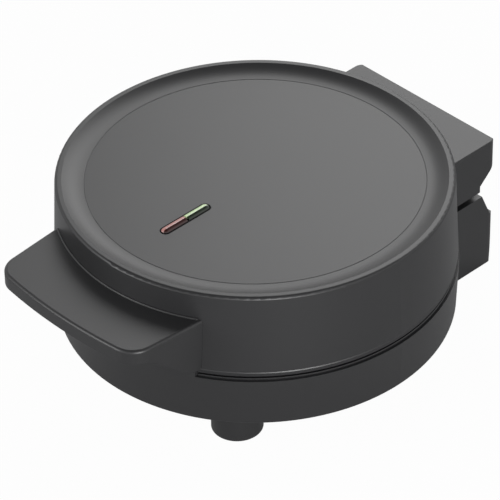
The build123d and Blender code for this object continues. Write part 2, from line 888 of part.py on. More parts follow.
# Cooking plates: seven ring-shaped cavities in front, the element bed and bosses behind
cavity_places = [(0, 0)] + around(cavity_circle, cavity_count, 0)
cavity_major_radius = doughnut_radius - ring_tube_radius
thermostat_place = (0, -thermostat_reach)


# Ends of the element's tails, and where its leads turn down through the pan
tail_angle = radians((360 - element_arc) / 2)
tail_end_x = element_circle * sin(tail_angle) - element_tail * cos(tail_angle)
tail_end_reach = element_circle * cos(tail_angle) + element_tail * sin(tail_angle)
lead_x = tail_end_x - lead_start * cos(tail_angle)
lead_reach = tail_end_reach + lead_start * sin(tail_angle)


def heating_element(face, hinge_side, radius):
    """A tubular element round the plate, open towards the hinge, with straight tails."""
    first = 90 * hinge_side + (360 - element_arc) / 2
    with BuildPart() as element:
        with BuildLine(face.offset(element_bed_height)) as path:
            ring = CenterArc((0, 0), element_circle, first, element_arc)
            Line(ring @ 0, ring @ 0 - ring % 0 * element_tail)
            Line(ring @ 1, ring @ 1 + ring % 1 * element_tail)
        run = path.wires()[0]
        with BuildSketch(Plane(run @ 0, z_dir=run % 0)):
            Circle(radius)
        sweep(path=run)
    return element


def cooking_plate(face, hinge_side, with_thermostat):
    """A cooking plate, drawn from its cooking face with its depth as height."""
    with BuildPart() as plate:
        with Locations(face):
            with Locations(*cavity_places):
                Torus(cavity_major_radius, ring_tube_radius + plate_skin)
        with BuildSketch(face):
            Circle(plate_radius)
        extrude(amount=-ring_tube_radius - 2 * plate_skin, mode=Mode.SUBTRACT)
        with BuildSketch(face):
            Circle(plate_radius)
        extrude(amount=plate_thickness)
        # Bed of the element, and the bosses
        with BuildSketch(face):
            Circle(element_circle + element_bed_width / 2)
            Circle(element_circle - element_bed_width / 2, mode=Mode.SUBTRACT)
            with Locations((0, hinge_side * element_circle)):
                Rectangle(2 * (tail_end_x + wire_radius), 2 * element_bed_width, mode=Mode.SUBTRACT)
        extrude(amount=element_bed_height)
        with BuildSketch(face):
            Circle(centre_boss_radius)
            if with_thermostat:
                with Locations(thermostat_place):
                    Circle(thermostat_pad_radius)
        extrude(amount=bar_depth)
        with BuildSketch(face):
            with Locations(*plate_screw_places):
                Circle(plate_boss_radius)
        extrude(amount=pan_depth)
        add(heating_element(face, hinge_side, element_radius + element_fit).part, mode=Mode.SUBTRACT)
        with BuildSketch(face.offset(pan_depth)):
            with Locations(*plate_screw_places):
                Circle(pilot_radius)
        extrude(amount=pan_thickness - screw_length - plate_pilot_gap, mode=Mode.SUBTRACT)
        with BuildSketch(face.offset(bar_depth)):
            Circle(pilot_radius)
        extrude(amount=bar_thickness - bar_screw_length - plate_pilot_gap, mode=Mode.SUBTRACT)
        with Locations(face):
            with Locations(*cavity_places):
                Torus(cavity_major_radius, ring_tube_radius, mode=Mode.SUBTRACT)
    return plate


upper_plate = cooking_plate(upper_face, 1, False)
upper_plate.part.label = "upper_plate"
export_step(upper_plate.part, "parts/upper_plate.step")

lower_plate = cooking_plate(lower_face, -1, True)
lower_plate.part.label = "lower_plate"
export_step(lower_plate.part, "parts/lower_plate.step")


upper_element = heating_element(upper_face, 1, element_radius)
upper_element.part.label = "upper_element"
export_step(upper_element.part, "parts/upper_element.step")

lower_element = heating_element(lower_face, -1, element_radius)
lower_element.part.label = "lower_element"
export_step(lower_element.part, "parts/lower_element.step")


def element_bar(face):
    """The flat bar that holds an element down at the plate's middle."""
    with BuildPart() as bar:
        with BuildSketch(face.offset(bar_depth)):
            SlotOverall(2 * (element_circle + bar_overhang), bar_width)
            Circle(screw_hole_radius, mode=Mode.SUBTRACT)
        extrude(amount=bar_thickness)
    return bar


upper_element_bar = element_bar(upper_face)
upper_element_bar.part.label = "upper_element_bar"
export_step(upper_element_bar.part, "parts/upper_element_bar.step")

lower_element_bar = element_bar(lower_face)
lower_element_bar.part.label = "lower_element_bar"
export_step(lower_element_bar.part, "parts/lower_element_bar.step")

upper_bar_screw = screw_set(upper_face.offset(bar_depth + bar_thickness), [(0, 0)], bar_screw_length)
upper_bar_screw.part.label = "upper_bar_screw"
export_step(upper_bar_screw.part, "parts/upper_bar_screw.step")

lower_bar_screw = screw_set(lower_face.offset(bar_depth + bar_thickness), [(0, 0)], bar_screw_length)
lower_bar_screw.part.label = "lower_bar_screw"
export_step(lower_bar_screw.part, "parts/lower_bar_screw.step")

# Reflector pans
pan_radius = plate_radius - ring_shoulder + pan_ring_inset
pan_back = pan_depth + pan_thickness


def reflector(face, hinge_side, with_thermostat):
    """The bright pan behind a plate, clamped between the plate's screws and its ring."""
    with BuildPart() as pan:
        with BuildSketch(half_profile(face)):
            with BuildLine():
                Polyline(
                    (pan_radius + pan_flange, ring_back),
                    (pan_radius + pan_flange, ring_back + pan_thickness),
                    (pan_radius + pan_thickness, ring_back + pan_thickness),
                    (pan_radius + pan_thickness, pan_back),
                    (0, pan_back),
                    (0, pan_depth),
                    (pan_radius, pan_depth),
                    (pan_radius, ring_back),
                    close=True,
                )
            profile = make_face()
            fillet(profile.vertices().group_by(Axis.Y)[-1].sort_by(Axis.X)[-1], pan_edge)
            fillet(profile.vertices().group_by(Axis.Y)[-2].sort_by(Axis.X)[-1], pan_edge - pan_thickness)
        revolve(axis=Axis(face.origin, face.z_dir))
        with BuildSketch(face.offset(pan_depth)):
            with Locations(*plate_screw_places):
                Circle(screw_hole_radius)
            with Locations(*[(x, hinge_side * lead_turn_reach) for x in (-lead_x, lead_x)]):
                Circle(lead_hole_radius)
            if with_thermostat:
                with Locations(thermostat_place):
                    Circle(thermostat_radius + thermostat_hole_gap)
        extrude(amount=pan_thickness, mode=Mode.SUBTRACT)
    return pan


upper_reflector = reflector(upper_face, 1, False)
upper_reflector.part.label = "upper_reflector"
export_step(upper_reflector.part, "parts/upper_reflector.step")

lower_reflector = reflector(lower_face, -1, True)
lower_reflector.part.label = "lower_reflector"
export_step(lower_reflector.part, "parts/lower_reflector.step")

upper_plate_screws = screw_set(upper_face.offset(pan_back), plate_screw_places)
upper_plate_screws.part.label = "upper_plate_screws"
export_step(upper_plate_screws.part, "parts/upper_plate_screws.step")

lower_plate_screws = screw_set(lower_face.offset(pan_back), plate_screw_places)
lower_plate_screws.part.label = "lower_plate_screws"
export_step(lower_plate_screws.part, "parts/lower_plate_screws.step")

# Lamps on the dish: one bezel, a red lens in front and a green one behind it
lens_front = lamp_front - lens_inset
lens_rear = lamp_rear + lens_inset
crown_radius = ((lens_width / 2) ** 2 + lens_crown**2) / (2 * lens_crown)
crown_z = dish_z + lens_rise - crown_radius
lens_slot_length = lens_front - lens_rear
lens_round_front = -lens_front + lens_width / 2
lens_round_rear = -lens_rear - lens_width / 2


def lens(divider_side):
    """A domed lens with a round outer end, on one side of the divider."""
    hidden_reach = lamp_divider_reach + divider_side * (lens_slot_length - lamp_divider) / 2
    with BuildPart() as window:
        with BuildSketch(body.offset(dish_z - lens_depth)):
            with Locations((0, -(lens_front + lens_rear) / 2)):
                SlotOverall(lens_slot_length, lens_width, rotation=90)
            with Locations((0, -hidden_reach)):
                Rectangle(lens_width, lens_slot_length, mode=Mode.SUBTRACT)
        extrude(amount=lens_depth + lens_rise)
    with BuildPart() as crown:
        with BuildSketch(body.offset(dish_z - lens_depth)):
            with Locations((0, -(lens_front + lens_rear) / 2)):
                Rectangle(2 * lens_width, 2 * lens_slot_length)
        extrude(amount=lens_depth + lens_rise - lens_crown)
        with BuildSketch(upright.offset(-lens_round_front)):
            with Locations((0, crown_z)):
                Circle(crown_radius)
        extrude(amount=lens_round_front - lens_round_rear)
        with Locations((0, body_y + lens_round_front, crown_z), (0, body_y + lens_round_rear, crown_z)):
            Sphere(crown_radius)
    with BuildPart() as domed:
        add(window.part)
        add(crown.part, mode=Mode.INTERSECT)
    return domed


power_lens = lens(-1)
power_lens.part.label = "power_lens"
export_step(power_lens.part, "parts/power_lens.step")

ready_lens = lens(1)
ready_lens.part.label = "ready_lens"
export_step(ready_lens.part, "parts/ready_lens.step")

with BuildPart() as lamp_bezel:
    with BuildSketch(body.offset(ceiling_z - bezel_flange_thickness)):
        with Locations((0, -lamp_reach)):
            SlotOverall(lamp_length + 2 * bezel_flange, lamp_width + 2 * bezel_flange, rotation=90)
    extrude(amount=bezel_flange_thickness)
    with BuildSketch(body.offset(ceiling_z)):
        with Locations((0, -lamp_reach)):
            SlotOverall(lamp_length, lamp_width, rotation=90)
    extrude(amount=wall + bezel_rise)
    with BuildSketch(body.offset(ceiling_z - bezel_flange_thickness)):
        with Locations((0, -(lens_front + lens_rear) / 2)):
            SlotOverall(lens_slot_length + 2 * lens_fit, lens_width + 2 * lens_fit, rotation=90)
        with Locations((0, -lamp_divider_reach)):
            Rectangle(lamp_width, lamp_divider - 2 * lens_fit, mode=Mode.SUBTRACT)
    extrude(amount=wall + bezel_rise + bezel_flange_thickness, mode=Mode.SUBTRACT)
lamp_bezel.part.label = "lamp_bezel"
export_step(lamp_bezel.part, "parts/lamp_bezel.step")

board_front = lamp_front + lamp_board_overhang
board_rear = lamp_rear - lamp_board_overhang
with BuildPart() as lamp_board:
    with BuildSketch(body.offset(lamp_board_z)):
        with Locations((0, -(board_front + board_rear) / 2)):
            Rectangle(lamp_board_width, board_front - board_rear)
        with Locations(*lamp_boss_places):
            Circle(screw_hole_radius, mode=Mode.SUBTRACT)
    extrude(amount=-lamp_board_thickness)
lamp_board.part.label = "lamp_board"
export_step(lamp_board.part, "parts/lamp_board.step")

lamp_board_under_z = lamp_board_z - lamp_board_thickness
lamp_board_seat = Plane((0, body_y, lamp_board_under_z), x_dir=(1, 0, 0), z_dir=(0, 0, -1))
lamp_board_screws = screw_set(lamp_board_seat, turned(lamp_boss_places), lamp_screw_length)
lamp_board_screws.part.label = "lamp_board_screws"
export_step(lamp_board_screws.part, "parts/lamp_board_screws.step")

with BuildPart() as indicator_lamps:
    for reach in ((lens_front + lamp_divider_reach) / 2, (lens_rear + lamp_divider_reach) / 2):
        with BuildSketch(upright.offset(reach - bulb_length / 2)):
            with Locations((0, lamp_board_z + bulb_radius)):
                Circle(bulb_radius)
        extrude(amount=bulb_length)
indicator_lamps.part.label = "indicator_lamps"
export_step(indicator_lamps.part, "parts/indicator_lamps.step")

# Base form: the round tray, still solid
with BuildPart() as base_solid:
    with BuildSketch(upright):
        with BuildLine():
            Polyline(
                (0, leg_height),
                (base_foot_radius, leg_height),
                (base_top_radius, base_rim_z),
                (0, base_rim_z),
                close=True,
            )
        base_profile = make_face()
        fillet(base_profile.vertices().group_by(Axis.Y)[0].sort_by(Axis.X)[-1], base_edge)
    revolve(axis=body_axis)

with BuildPart() as base_block_room:
    add(base_block_cavity.part)
    add(base_solid.part, mode=Mode.SUBTRACT)

# Places that both the base shell and the pieces fastened to it use
foot_circle = base_foot_radius - foot_inset
foot_x = foot_circle * cos(radians(foot_angle))
foot_reach = foot_circle * sin(radians(foot_angle))
foot_places = [(-foot_x, -foot_reach), (foot_x, -foot_reach)]
base_boss_z = lower_face_z - ring_back
bottom_cover_z = base_block_clearance + bottom_cover_sink
bottom_cover_top_z = bottom_cover_z + bottom_cover_thickness
bottom_cover_screw_places = [
    (-bottom_cover_screw_x, bottom_cover_screw_reach),
    (bottom_cover_screw_x, bottom_cover_screw_reach),
]
strip_rear = hinge_reach - base_block_lean - strip_rear_inset
strip_middle = strip_rear - strip_depth / 2
base_wire_hole_z = base_floor_z + wire_hole_radius + wire_hole_floor_gap
rear_lean = base_block_lean / (base_rear_top_z - base_block_clearance)
gland_seat = Plane(
    (0, body_y + hinge_reach - (base_rear_top_z - gland_height) * rear_lean, gland_height),
    x_dir=(-1, 0, 0),
    z_dir=(0, 1, -rear_lean),
)

with BuildPart() as base_shell:
    add(base_solid.part)
    add(base_block.part)
    # Upstand that closes the gap under the handle
    with BuildSketch(body.offset(base_rim_z)):
        Circle(base_top_radius)
        Circle(base_top_radius - wall, mode=Mode.SUBTRACT)
        with Locations((0, -base_top_radius)):
            Rectangle(2 * upstand_half_width, base_top_radius, mode=Mode.INTERSECT)
    extrude(amount=skirt_z - hairline - base_rim_z)
    with BuildSketch(upright):
        with BuildLine():
            Polyline(
                (0, base_floor_z),
                (base_foot_radius - wall, base_floor_z),
                (base_top_radius - wall, base_rim_z),
                (0, base_rim_z),
                close=True,
            )
        make_face()
    revolve(axis=body_axis, mode=Mode.SUBTRACT)
    add(base_block_room.part, mode=Mode.SUBTRACT)
    # Mouth of the hinge block, closed by the bottom cover
    with BuildSketch(body.offset(base_block_clearance)):
        with Locations((0, (base_block_front + wall + bottom_cover_reach) / 2)):
            Rectangle(2 * (hinge_half_width - wall), bottom_cover_reach - base_block_front - wall)
    extrude(amount=wall, mode=Mode.SUBTRACT)
    # Solid bed of the hinge knuckles
    add(
        web(
            pin_bed_start,
            pin_bed_width,
            (lid_cover_reach, hinge_z - relief_radius - wall),
            (base_slant_start, base_block_z),
        )
    )
    for start in base_knuckle_starts:
        add(barrel(start, knuckle_width, knuckle_radius))
    relief_width = lid_knuckle_width + 2 * knuckle_side_gap
    add(barrel(lid_knuckle_start - knuckle_side_gap, relief_width, relief_radius), mode=Mode.SUBTRACT)
    add(barrel(pin_bed_start, pin_bed_width, pin_radius + pin_press_gap), mode=Mode.SUBTRACT)
    with BuildSketch(body.offset(base_block_z)):
        with Locations((0, hinge_axis_reach)):
            Circle(sleeve_radius + sleeve_fit)
    extrude(amount=-sleeve_rise, mode=Mode.SUBTRACT)
    # Screw bosses
    with BuildSketch(body.offset(base_floor_z)):
        with Locations(*ring_screw_places):
            Circle(boss_radius)
    extrude(amount=base_boss_z - base_floor_z)
    with BuildSketch(body.offset(base_boss_z)):
        with Locations(*ring_screw_places):
            Circle(pilot_radius)
    extrude(amount=-screw_length, mode=Mode.SUBTRACT)
    with BuildSketch(body.offset(bottom_cover_top_z)):
        with Locations(*bottom_cover_screw_places):
            Circle(boss_radius)
    extrude(amount=leg_height - bottom_cover_top_z)
    with BuildSketch(body.offset(bottom_cover_top_z)):
        with Locations(*bottom_cover_screw_places):
            Circle(pilot_radius)
    extrude(amount=screw_length, mode=Mode.SUBTRACT)
    with BuildSketch(body.offset(leg_height)):
        with Locations(*foot_places):
            Circle(boss_radius)
    extrude(amount=wall + foot_boss_height)
    with BuildSketch(body.offset(leg_height)):
        with Locations(*foot_places):
            Circle(pilot_radius)
    extrude(amount=foot_screw_length - foot_top_thickness + thread_gap, mode=Mode.SUBTRACT)
    # Vents in the floor, in front of the hinge block
    with BuildSketch(body.offset(leg_height)):
        with PolarLocations(vent_circle, vent_count):
            SlotOverall(vent_length, vent_width)
    extrude(amount=wall, mode=Mode.SUBTRACT)
    # Seat of the rubber strip, the way for the wires and the hole for the cord gland
    with BuildSketch(body.offset(base_block_clearance)):
        with Locations((0, strip_middle)):
            Rectangle(2 * (strip_half_width + strip_fit), strip_depth + 2 * strip_fit)
    extrude(amount=strip_seat, mode=Mode.SUBTRACT)
    with BuildSketch(upright.offset(wire_hole_length / 2 - base_radius(base_wire_hole_z))):
        with Locations((0, base_wire_hole_z)):
            Circle(wire_hole_radius)
    extrude(amount=-wire_hole_length, mode=Mode.SUBTRACT)
    with BuildSketch(gland_seat):
        Circle(gland_radius + gland_fit)
    extrude(amount=-gland_length, mode=Mode.SUBTRACT)
base_shell.part.label = "base_shell"
export_step(base_shell.part, "parts/base_shell.step")


def hinge_pin(side_x):
    """A steel pin through the knuckles of one side."""
    with BuildPart() as pin:
        with BuildSketch(side.offset(side_x * (inner_knuckle_start - pin_overhang))):
            with Locations((hinge_axis_reach, hinge_z)):
                Circle(pin_radius)
        extrude(amount=side_x * (outer_knuckle_end - inner_knuckle_start + 2 * pin_overhang))
        chamfer(pin.edges().filter_by(GeomType.CIRCLE), pin_chamfer)
    return pin


hinge_pin_left = hinge_pin(-1)
hinge_pin_left.part.label = "hinge_pin_left"
export_step(hinge_pin_left.part, "parts/hinge_pin_left.step")

hinge_pin_right = hinge_pin(1)
hinge_pin_right.part.label = "hinge_pin_right"
export_step(hinge_pin_right.part, "parts/hinge_pin_right.step")


def front_foot(place):
    """A round hollow foot, screwed to the base from inside."""
    with BuildPart() as foot:
        with BuildSketch(body.offset(foot_pad_proud)):
            with Locations(place):
                Circle(foot_radius)
        extrude(amount=leg_height - foot_pad_proud)
        fillet(foot.faces().sort_by(Axis.Z)[0].edges(), foot_edge)
        with BuildSketch(body.offset(foot_pad_proud)):
            with Locations(place):
                Circle(foot_pad_radius + foot_pad_fit)
        extrude(amount=foot_pad_height - foot_pad_proud, mode=Mode.SUBTRACT)
        with BuildSketch(body.offset(foot_pad_height)):
            with Locations(place):
                Circle(foot_pad_radius - foot_step)
        extrude(amount=leg_height - foot_top_thickness - foot_pad_height, mode=Mode.SUBTRACT)
        with BuildSketch(body.offset(leg_height)):
            with Locations(place):
                Circle(screw_hole_radius)
        extrude(amount=-foot_top_thickness, mode=Mode.SUBTRACT)
    return foot


front_foot_left = front_foot(foot_places[0])
front_foot_left.part.label = "front_foot_left"
export_step(front_foot_left.part, "parts/front_foot_left.step")

front_foot_right = front_foot(foot_places[1])
front_foot_right.part.label = "front_foot_right"
export_step(front_foot_right.part, "parts/front_foot_right.step")

with BuildPart() as foot_pads:
    with BuildSketch(body):
        with Locations(*foot_places):
            Circle(foot_pad_radius)
    extrude(amount=foot_pad_height)
foot_pads.part.label = "foot_pads"
export_step(foot_pads.part, "parts/foot_pads.step")

foot_seat = Plane((0, body_y, leg_height - foot_top_thickness), x_dir=(1, 0, 0), z_dir=(0, 0, -1))
foot_screws = screw_set(foot_seat, turned(foot_places), foot_screw_length)
foot_screws.part.label = "foot_screws"
export_step(foot_screws.part, "parts/foot_screws.step")

with BuildPart() as rear_foot_strip:
    with BuildSketch(body):
        with Locations((0, strip_middle)):
            Rectangle(2 * strip_half_width, strip_depth)
    extrude(amount=base_block_clearance + strip_seat)
rear_foot_strip.part.label = "rear_foot_strip"
export_step(rear_foot_strip.part, "parts/rear_foot_strip.step")

with BuildPart() as bottom_cover:
    with BuildSketch(body.offset(bottom_cover_z)):
        with Locations((0, (base_block_front + wall + bottom_cover_reach) / 2)):
            Rectangle(
                2 * (hinge_half_width - wall - cover_fit),
                bottom_cover_reach - base_block_front - wall - 2 * cover_fit,
            )
        with Locations(*bottom_cover_screw_places):
            Circle(screw_hole_radius, mode=Mode.SUBTRACT)
    extrude(amount=bottom_cover_thickness)
bottom_cover.part.label = "bottom_cover"
export_step(bottom_cover.part, "parts/bottom_cover.step")

bottom_cover_seat = Plane((0, body_y, bottom_cover_z), x_dir=(1, 0, 0), z_dir=(0, 0, -1))
bottom_cover_screws = screw_set(bottom_cover_seat, turned(bottom_cover_screw_places))
bottom_cover_screws.part.label = "bottom_cover_screws"
export_step(bottom_cover_screws.part, "parts/bottom_cover_screws.step")

with BuildPart() as cord_gland:
    with BuildSketch(gland_seat):
        Circle(gland_flange_radius)
    extrude(amount=gland_flange_thickness)
    fillet(cord_gland.faces().sort_by(Axis.Y)[-1].edges(), gland_edge)
    with BuildSketch(gland_seat):
        Circle(gland_radius)
    extrude(amount=-gland_length)
    with BuildSketch(gland_seat.offset(gland_flange_thickness)):
        Circle(gland_bore_radius)
    extrude(amount=-gland_flange_thickness - gland_length, mode=Mode.SUBTRACT)
cord_gland.part.label = "cord_gland"
export_step(cord_gland.part, "parts/cord_gland.step")

# Electrical parts of the base
terminal_top_z = bottom_cover_top_z + terminal_height
base_entry_height = bottom_cover_top_z + base_entry_rise
terminal_places = [(x * terminal_pitch, terminal_reach) for x in (-1, 0, 1)]
with BuildPart() as terminal_block:
    with BuildSketch(body.offset(bottom_cover_top_z)):
        with Locations((0, terminal_reach)):
            Rectangle(terminal_width, terminal_depth)
    extrude(amount=terminal_height)
    with BuildSketch(body.offset(terminal_top_z)):
        with Locations(*terminal_places):
            Circle(terminal_screw_radius + thread_gap)
    extrude(amount=-terminal_screw_height - terminal_sink, mode=Mode.SUBTRACT)
terminal_block.part.label = "terminal_block"
export_step(terminal_block.part, "parts/terminal_block.step")

with BuildPart() as terminal_screws:
    with BuildSketch(body.offset(terminal_top_z - terminal_sink)):
        with Locations(*terminal_places):
            Circle(terminal_screw_radius)
    extrude(amount=-terminal_screw_height)
    with BuildSketch(body.offset(terminal_top_z - terminal_sink)):
        with Locations(*terminal_places):
            Rectangle(2 * terminal_screw_radius, screw_recess_width)
    extrude(amount=-screw_recess_depth, mode=Mode.SUBTRACT)
terminal_screws.part.label = "terminal_screws"
export_step(terminal_screws.part, "parts/terminal_screws.step")

# The wires under the lower pan run at the height of the fuse's middle
lower_pan_z = lower_face_z - pan_back
lead_z = lower_pan_z - fuse_gap - fuse_radius
thermostat_height = lower_face_z - bar_depth - lead_z - tag_thickness / 2

with BuildPart() as thermostat:
    with BuildSketch(lower_face.offset(bar_depth)):
        with Locations(thermostat_place):
            Circle(thermostat_radius)
    extrude(amount=thermostat_height)
    with BuildSketch(lower_face.offset(bar_depth + thermostat_height)):
        with Locations(*[(x * (tag_root_x + tag_end_x) / 2, -thermostat_reach) for x in (-1, 1)]):
            Rectangle(tag_end_x - tag_root_x, tag_width)
    extrude(amount=tag_thickness)
thermostat.part.label = "thermostat"
export_step(thermostat.part, "parts/thermostat.step")

with BuildPart() as thermal_fuse:
    with BuildSketch(upright.offset(-fuse_reach - fuse_length / 2)):
        with Locations((fuse_x, lead_z)):
            Circle(fuse_radius)
    extrude(amount=fuse_length)
thermal_fuse.part.label = "thermal_fuse"
export_step(thermal_fuse.part, "parts/thermal_fuse.step")

clip_radius = fuse_radius + fuse_gap
clip_half_width = clip_radius + fuse_clip_thickness
standing = (Align.CENTER, Align.MIN)
with BuildPart() as fuse_clip:
    with BuildSketch(upright.offset(-fuse_reach - fuse_clip_width / 2)):
        with Locations((fuse_x, lead_z)):
            Circle(clip_half_width)
            Rectangle(2 * clip_half_width, 2 * clip_radius, align=standing)
        with Locations((fuse_x, lower_pan_z)):
            Rectangle(
                2 * (clip_half_width + fuse_clip_foot),
                fuse_clip_thickness,
                align=(Align.CENTER, Align.MAX),
            )
        with Locations((fuse_x, lead_z)):
            Circle(clip_radius, mode=Mode.SUBTRACT)
            Rectangle(2 * clip_radius, 2 * clip_radius, align=standing, mode=Mode.SUBTRACT)
        with Locations((fuse_x, lower_pan_z)):
            Rectangle(fuse_clip_reach, fuse_clip_reach, align=standing, mode=Mode.SUBTRACT)
    extrude(amount=fuse_clip_width)
fuse_clip.part.label = "fuse_clip"
export_step(fuse_clip.part, "parts/fuse_clip.step")


def lead_route(side_x, element_z, run_z):
    """From the end of an element's tail, straight on, back towards the hinge and through the pan."""
    gap_x = wire_end_gap * cos(tail_angle)
    gap_y = wire_end_gap * sin(tail_angle)
    return [
        (side_x * (tail_end_x - gap_x), tail_end_reach + gap_y, element_z),
        (side_x * lead_x, lead_reach, element_z),
        (side_x * lead_x, lead_turn_reach, element_z),
        (side_x * lead_x, lead_turn_reach, run_z),
    ]


lower_element_z = lower_face_z - element_bed_height
terminal_rear = terminal_reach + terminal_depth / 2 + wire_end_gap
tag_x = tag_end_x + wire_end_gap
half_pitch = wire_pitch / 2
outer_way = terminal_pitch + half_pitch
inner_way = terminal_pitch - half_pitch
sleeve_low_z = base_block_z - sleeve_rise
base_wire_routes = [
    # Element to terminal
    lead_route(1, lower_element_z, lead_z)
    + [
        (wire_pitch, lead_gather_reach, lead_z),
        (wire_pitch, base_riser_reach, lead_z),
        (outer_way, base_riser_reach, base_entry_height),
        (outer_way, terminal_rear, base_entry_height),
    ],
    # Element to thermostat
    lead_route(-1, lower_element_z, lead_z)
    + [
        (-wire_loop_x, element_circle, lead_z),
        (-wire_loop_x, thermostat_reach, lead_z),
        (-tag_x, thermostat_reach, lead_z),
    ],
    # Thermostat to fuse
    [
        (tag_x, thermostat_reach, lead_z),
        (wire_loop_x, thermostat_reach, lead_z),
        (wire_loop_x, wire_loop_reach, lead_z),
        (fuse_x, wire_loop_reach, lead_z),
        (fuse_x, fuse_reach - fuse_length / 2 - wire_end_gap, lead_z),
    ],
    # Fuse to terminal
    [
        (fuse_x, fuse_reach + fuse_length / 2 + wire_end_gap, lead_z),
        (fuse_x, element_circle, lead_z),
        (-wire_pitch, lead_gather_reach, lead_z),
        (-wire_pitch, base_riser_reach, lead_z),
        (-outer_way, base_riser_reach, base_entry_height),
        (-outer_way, terminal_rear, base_entry_height),
    ],
] + [
    # Terminals to the hinge sleeve
    [
        (side_x * half_pitch, hinge_axis_reach, sleeve_low_z - wire_end_gap),
        (side_x * half_pitch, hinge_axis_reach, lower_pan_z),
        (side_x * inner_way, hinge_axis_reach, leg_height),
        (side_x * inner_way, hinge_axis_reach, base_entry_height),
        (side_x * inner_way, terminal_rear, base_entry_height),
    ]
    for side_x in (-1, 1)
]
with BuildPart() as base_wires:
    for route in base_wire_routes:
        add(pipe(*route))
base_wires.part.label = "base_wires"
export_step(base_wires.part, "parts/base_wires.step")


def hinge_sleeve(direction, end_z):
    """Half of the wire sleeve across the hinge, with a round end next to the hinge axis."""
    round_z = hinge_z + direction * (sleeve_end_gap + sleeve_radius)
    with BuildPart() as sleeve:
        with BuildSketch(body.offset(round_z)):
            with Locations((0, hinge_axis_reach)):
                Circle(sleeve_radius)
        extrude(amount=end_z - round_z)
        with Locations((0, body_y + hinge_axis_reach, round_z)):
            Sphere(sleeve_radius)
    return sleeve


base_sleeve = hinge_sleeve(-1, sleeve_low_z)
base_sleeve.part.label = "base_sleeve"
export_step(base_sleeve.part, "parts/base_sleeve.step")

sleeve_high_z = lid_block_z + sleeve_rise
lid_wire_end_z = sleeve_high_z + wire_end_gap
lid_sleeve = hinge_sleeve(1, sleeve_high_z)
lid_sleeve.part.label = "lid_sleeve"
export_step(lid_sleeve.part, "parts/lid_sleeve.step")

# Wires of the lid: two leads of the element, and two wires of the lamps above them
upper_element_z = upper_face_z + element_bed_height
lid_lead_z = lid_wire_height - half_pitch
lamp_wire_z = lid_wire_height + half_pitch
lid_wire_routes = []
for side_x in (-1, 1):
    lid_wire_routes.append(
        lead_route(side_x, upper_element_z, lid_lead_z)
        + [
            (side_x * wire_pitch, lead_gather_reach, lid_lead_z),
            (side_x * sleeve_wire_offset, hinge_axis_reach - sleeve_wire_offset, lid_lead_z),
            (side_x * sleeve_wire_offset, hinge_axis_reach - sleeve_wire_offset, lid_wire_end_z),
        ]
    )
    lid_wire_routes.append(
        [
            (side_x * half_pitch, -lamp_wire_reach, lamp_board_under_z - wire_end_gap),
            (side_x * half_pitch, -lamp_wire_reach, lamp_wire_z),
            (side_x * half_pitch, hinge_axis_reach + sleeve_wire_offset, lamp_wire_z),
            (side_x * sleeve_wire_offset, hinge_axis_reach + sleeve_wire_offset, lid_wire_end_z),
        ]
    )
with BuildPart() as lid_wires:
    for route in lid_wire_routes:
        add(pipe(*route))
lid_wires.part.label = "lid_wires"
export_step(lid_wires.part, "parts/lid_wires.step")
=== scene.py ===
import json
from math import atan2, cos, pi, radians, remainder, sin, sqrt
import bmesh
import bpy
from mathutils import Matrix, Vector


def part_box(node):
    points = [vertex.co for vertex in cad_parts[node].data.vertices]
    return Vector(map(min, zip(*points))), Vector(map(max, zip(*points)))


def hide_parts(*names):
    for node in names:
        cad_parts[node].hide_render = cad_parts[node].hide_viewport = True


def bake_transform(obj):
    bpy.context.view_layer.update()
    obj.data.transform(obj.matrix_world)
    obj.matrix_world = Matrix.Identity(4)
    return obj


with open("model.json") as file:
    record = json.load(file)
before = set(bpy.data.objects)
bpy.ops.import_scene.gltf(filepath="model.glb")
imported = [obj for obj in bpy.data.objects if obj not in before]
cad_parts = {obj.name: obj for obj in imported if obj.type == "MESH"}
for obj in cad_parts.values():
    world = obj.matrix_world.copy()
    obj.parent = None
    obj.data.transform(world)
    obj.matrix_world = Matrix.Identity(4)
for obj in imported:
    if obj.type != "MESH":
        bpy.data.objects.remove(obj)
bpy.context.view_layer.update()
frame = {"nodes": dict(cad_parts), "record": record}

MM = 0.001
scene = bpy.context.scene
scene.view_settings.view_transform = "Standard"

# The body's axis and the top of its rim, from the frame
plate_low, plate_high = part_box("upper_plate")
shell_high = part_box("lid_shell")[1]
body_y = (plate_low[1] + plate_high[1]) / 2
rim_z = shell_high[2]
object_middle = Vector((0, body_y, rim_z / 2))


def linear(code):
    """An sRGB hex colour as linear red, green, blue and alpha."""
    channels = [int(code[i:i + 2], 16) / 255 for i in (1, 3, 5)]
    return [c / 12.92 if c <= 0.04045 else ((c + 0.055) / 1.055) ** 2.4 for c in channels] + [1.0]


def per_mm(size):
    """The scale of a pattern whose features are that many millimetres apart."""
    return 1 / (size * MM)


def add_node(tree, kind, settings=None, links=None):
    """One shader node with its settings, socket values and incoming links."""
    node = tree.nodes.new(kind)
    for name, value in (settings or {}).items():
        if isinstance(name, str) and hasattr(node, name):
            setattr(node, name, value)
        else:
            node.inputs[name].default_value = value
    for name, source in (links or {}).items():
        tree.links.new(source, node.inputs[name])
    return node


def empty_tree(owner):
    """The node tree of a material or a world, with nothing in it."""
    owner.use_nodes = True
    owner.node_tree.nodes.clear()
    return owner.node_tree


def larger(tree, first, second):
    """The larger of two values."""
    return add_node(tree, "ShaderNodeMath", {"operation": "MAXIMUM"}, {0: first, 1: second}).outputs[0]


